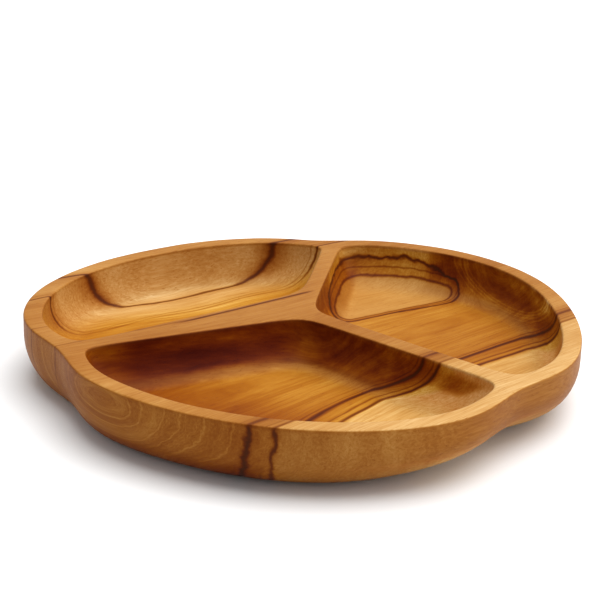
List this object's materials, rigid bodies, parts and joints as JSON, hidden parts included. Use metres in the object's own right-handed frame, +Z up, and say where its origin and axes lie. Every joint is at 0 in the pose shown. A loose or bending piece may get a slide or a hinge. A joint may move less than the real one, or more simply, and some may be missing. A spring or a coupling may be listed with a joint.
{
  "type": "divided serving bowl",
  "caption": "Low three-lobed wooden serving bowl, carved from glued teak staves, with a Y-shaped divider flush with its rim and coved pockets.",
  "frame": {"origin": "centre of the bowl's box, on the surface that it stands on", "axes": "+Z up out of the pockets, -Y towards the front pocket and the viewer, +X to the viewer's right"},
  "size_m": [0.3042, 0.2951, 0.037],
  "materials": {
    "teak": "oiled, hand-sanded satin"
  },
  "bodies": {
    "root": {"front_right_edge_stave": "teak", "front_right_stave": "teak", "front_middle_stave": "teak", "rear_middle_stave": "teak", "rear_left_stave": "teak", "rear_left_edge_stave": "teak"}
  },
  "joints": []
}
